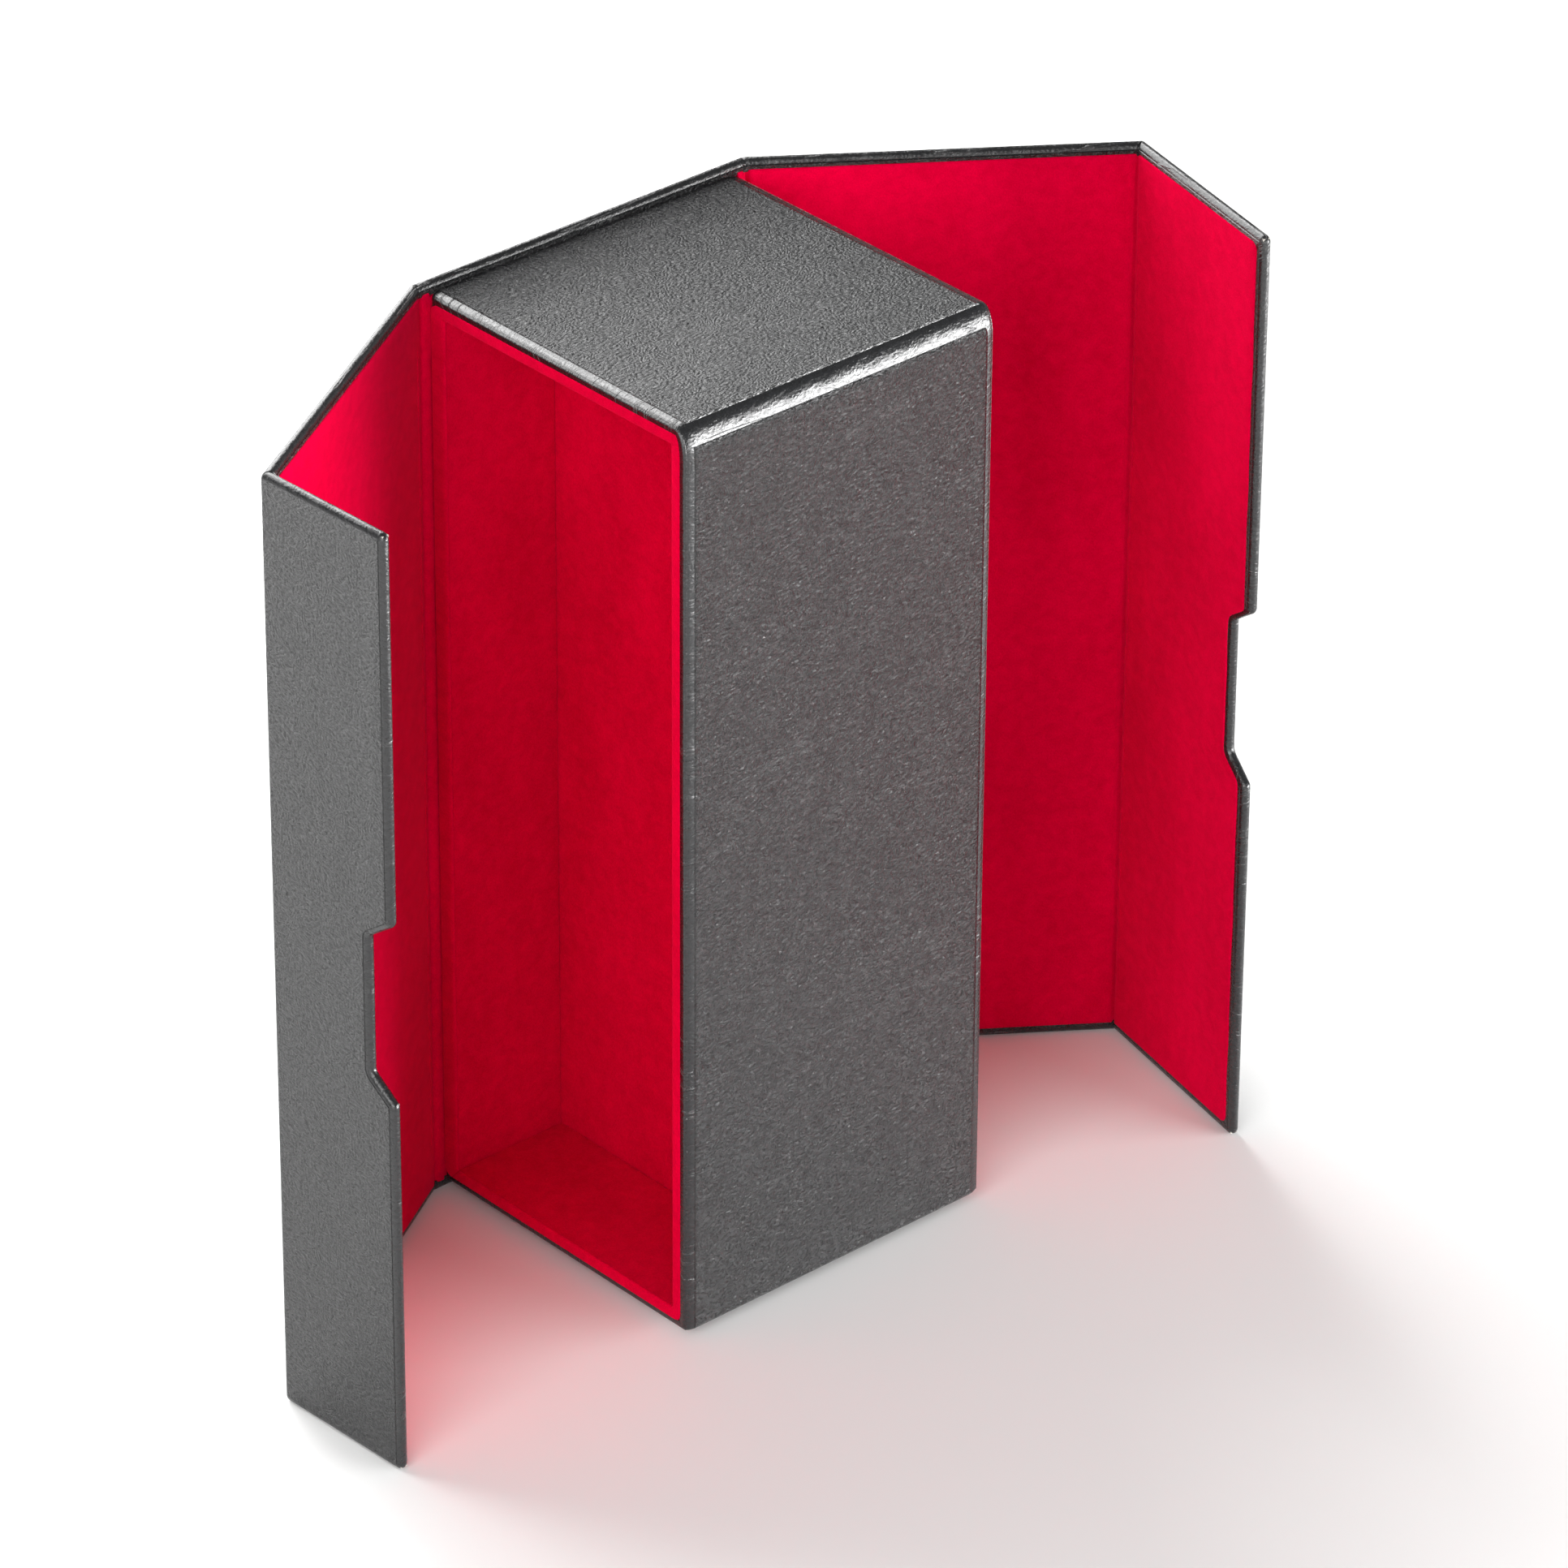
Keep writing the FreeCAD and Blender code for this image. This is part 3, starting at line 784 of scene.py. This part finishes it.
def velvet():
    """Crimson velvet: short upright pile, brushed in blotches, with a reddish sheen at a glancing view."""
    n = Nodes("velvet", 0.9, 0.0)
    fibre = n.noise(n.mapped(n.place, (3.2, 2.2, 3.2), 20), 1.0, 4, 0.7)
    nap = n.noise(n.place, 0.35, 4, 0.62, 0.4)
    brushed = n.noise(n.mapped(n.place, (0.05, 0.02, 0.05)), 1.0, 3, 0.6)
    tone = n.math("ADD", n.math("MULTIPLY", fibre, 0.45), n.math("MULTIPLY", nap, 0.3))
    tone = n.math("ADD", tone, n.math("MULTIPLY", brushed, 0.3))
    colour = n.blend(n.remap(tone, 0.3, 0.75), VELVET_DARK, VELVET_LIGHT)
    normal = n.bump(nap, 0.12)
    normal = n.bump(fibre, 0.10, normal)
    n.set(n.shader, Base_Color=colour, Normal=normal, Sheen_Weight=0.3, Sheen_Roughness=0.4)
    n.shader.inputs["Sheen Tint"].default_value = VELVET_SHEEN
    return n.material


def object_place(n):
    """Uses the piece's own coordinates, in millimetres, for CAD pieces that have no flat layout."""
    where = n.tree.nodes.new("ShaderNodeTexCoord")
    n.place = n.mapped(where.outputs["Object"], IN_MM)
    return n


def greyboard():
    """Grey recycled board with flecks of fibre."""
    n = object_place(Nodes("greyboard", 0.9, 0.2))
    flecks = n.noise(n.place, 1.4, 5, 0.7)
    colour = n.blend(n.remap(flecks, 0.35, 0.65), BOARD_DARK, BOARD_LIGHT)
    n.set(n.shader, Base_Color=colour, Normal=n.bump(flecks, 0.05))
    return n.material


def nickel():
    """Nickel plating on the magnets, with fine turning marks."""
    n = object_place(Nodes("nickel", 0.25))
    marks = n.noise(n.mapped(n.place, (0.6, 0.6, 9)), 1.0, 3, 0.6)
    n.shader.inputs["Metallic"].default_value = 1.0
    n.set(n.shader, Base_Color=n.blend(marks, NICKEL_DARK, NICKEL_LIGHT))
    n.set(n.shader, Roughness=n.remap(marks, 0.3, 0.7, 0.2, 0.34))
    return n.material


def dress_cad(board, metal):
    """Gives the boards and magnets inside the wraps their materials."""
    for name, node in frame["nodes"].items():
        finish = board if name.endswith("_board") else metal if name.endswith("magnets") else None
        if finish:
            node.data.materials.clear()
            node.data.materials.append(finish)


# ---------------------------------------------------------------- studio
CAMERA_AT = (-1.05605, -1.24523, 1.04005)
LENS = 202.18        # mm, before a sensor 36 mm wide
HEADING = 41.80      # degrees the camera looks from +Y towards +X
TILT = 30.33         # degrees it looks down
ROLL = 0.35          # degrees it leans
SKY_LOW = 0.9        # brightness of the room at the horizon
SKY_HIGH = 0.22      # and overhead
SKY_FADE = (0.03, 0.2)   # sines of the heights between which it dims
FLOOR_HALF = 4.0     # metres from the floor's middle to its sides
LIFT = 0.6           # how much the floor is brightened far out, for the camera and in gloss
LIFT_REACH = (0.42, 1.0)   # metres from the middle where that begins and where it is whole


def camera():
    data = bpy.data.cameras.new("camera")
    data.sensor_width = 36
    data.lens = LENS
    data.clip_end = 100
    made = added("camera", data)
    made.location = CAMERA_AT
    heading, tilt = math.radians(HEADING), math.radians(TILT)
    aim = Vector((math.sin(heading) * math.cos(tilt), math.cos(heading) * math.cos(tilt), -math.sin(tilt)))
    made.rotation_mode = "QUATERNION"
    made.rotation_quaternion = aim.to_track_quat("-Z", "Y") @ Quaternion((0, 0, 1), math.radians(ROLL))
    bpy.context.scene.camera = made


def softbox(name, spot, target, width, height, radiance):
    """A rectangular lamp at spot that points at target. The lamp itself isn't in the picture."""
    data = bpy.data.lights.new(name, "AREA")
    data.shape = "RECTANGLE"
    data.size, data.size_y = width, height
    data.energy = radiance * math.pi * width * height
    made = added(name, data)
    made.location = spot
    made.rotation_mode = "QUATERNION"
    made.rotation_quaternion = (Vector(target) - Vector(spot)).to_track_quat("-Z", "Y")
    made.visible_camera = False


def floor():
    """A pale sweep under the object, which keeps its shadow and fades to white further out."""
    mesh = bpy.data.meshes.new("floor")
    half = FLOOR_HALF
    corners = [(-half, -half, 0), (half, -half, 0), (half, half, 0), (-half, half, 0)]
    mesh.from_pydata(corners, [], [(0, 1, 2, 3)])
    made = added("floor", mesh)
    n = Nodes("floor", 0.7)
    where = n.tree.nodes.new("ShaderNodeTexCoord")
    away = n.tree.nodes.new("ShaderNodeVectorMath")
    away.operation = "LENGTH"
    n.tree.links.new(where.outputs["Object"], away.inputs[0])
    path = n.tree.nodes.new("ShaderNodeLightPath")
    seen = n.math("MAXIMUM", path.outputs["Is Camera Ray"], path.outputs["Is Glossy Ray"])
    seen = n.math("MAXIMUM", seen, path.outputs["Is Transmission Ray"])
    lift = n.math("MULTIPLY", seen, n.remap(away.outputs["Value"], *LIFT_REACH, 0.0, LIFT))
    n.set(n.shader, Base_Color=FLOOR_COLOUR, Emission_Color=WHITE, Emission_Strength=lift)
    mesh.materials.append(n.material)


def sky():
    """A pale room: bright near the horizon, dimmer overhead."""
    world = bpy.data.worlds.new("studio")
    bpy.context.scene.world = world
    world.use_nodes = True
    tree = world.node_tree
    where = tree.nodes.new("ShaderNodeTexCoord")
    axes = tree.nodes.new("ShaderNodeSeparateXYZ")
    tree.links.new(where.outputs["Generated"], axes.inputs[0])
    fade = tree.nodes.new("ShaderNodeMapRange")
    for name, value in zip(("From Min", "From Max", "To Min", "To Max"), (*SKY_FADE, SKY_LOW, SKY_HIGH)):
        fade.inputs[name].default_value = value
    tree.links.new(axes.outputs["Z"], fade.inputs["Value"])
    back = tree.nodes["Background"]
    back.inputs["Color"].default_value = WHITE
    tree.links.new(fade.outputs["Result"], back.inputs["Strength"])


def studio():
    """A wide softbox close behind and one further off, a broad one at the front left, and a low strip at the
    right. Each has its name, place, aim, width and height in metres, and radiance."""
    sky()
    softbox("key", (-0.01, 0.47, 0.48), (-0.01, 0, 0.20), 0.84, 0.62, 5.0)
    softbox("far", (0.45, 1.50, 2.10), (0, 0, 0.10), 0.7, 0.7, 9.0)
    softbox("fill", (-1.45, -0.95, 0.95), (0, 0, 0.1), 1.6, 1.2, 4.6)
    softbox("strip", (0.66, -0.95, 0.14), (0, 0, 0.13), 1.0, 0.26, 30.0)
    bpy.context.scene.view_settings.view_transform = "Standard"


# ---------------------------------------------------------------- the object
def build():
    """Models the cover's panels and folds and the case, and dresses the CAD pieces that stay."""
    leather, pile = leatherette(), velvet()
    spine, left, left_flap, right, right_flap = cover_panels()
    for panel in (spine, left, right):
        folded_skin(panel, leather)
        panel_velvet(panel, pile, flap=False)
    for panel in (left_flap, right_flap):
        flap_skin(panel, leather)
        panel_velvet(panel, pile, flap=True)
    folds = [
        Fold("left_side_fold", spine, left, a_start=False),
        Fold("left_flap_fold", left, left_flap, a_start=False),
        Fold("right_side_fold", spine, right, a_start=True),
        Fold("right_flap_fold", right, right_flap, a_start=False),
    ]
    for fold in folds:
        fold_skin(fold, leather)
        fold_velvet(fold, pile)
    board = greyboard()
    case_skin(leather)
    case_core(board)
    compartments(pile)
    dress_cad(board, nickel())


camera()
floor()
studio()
build()
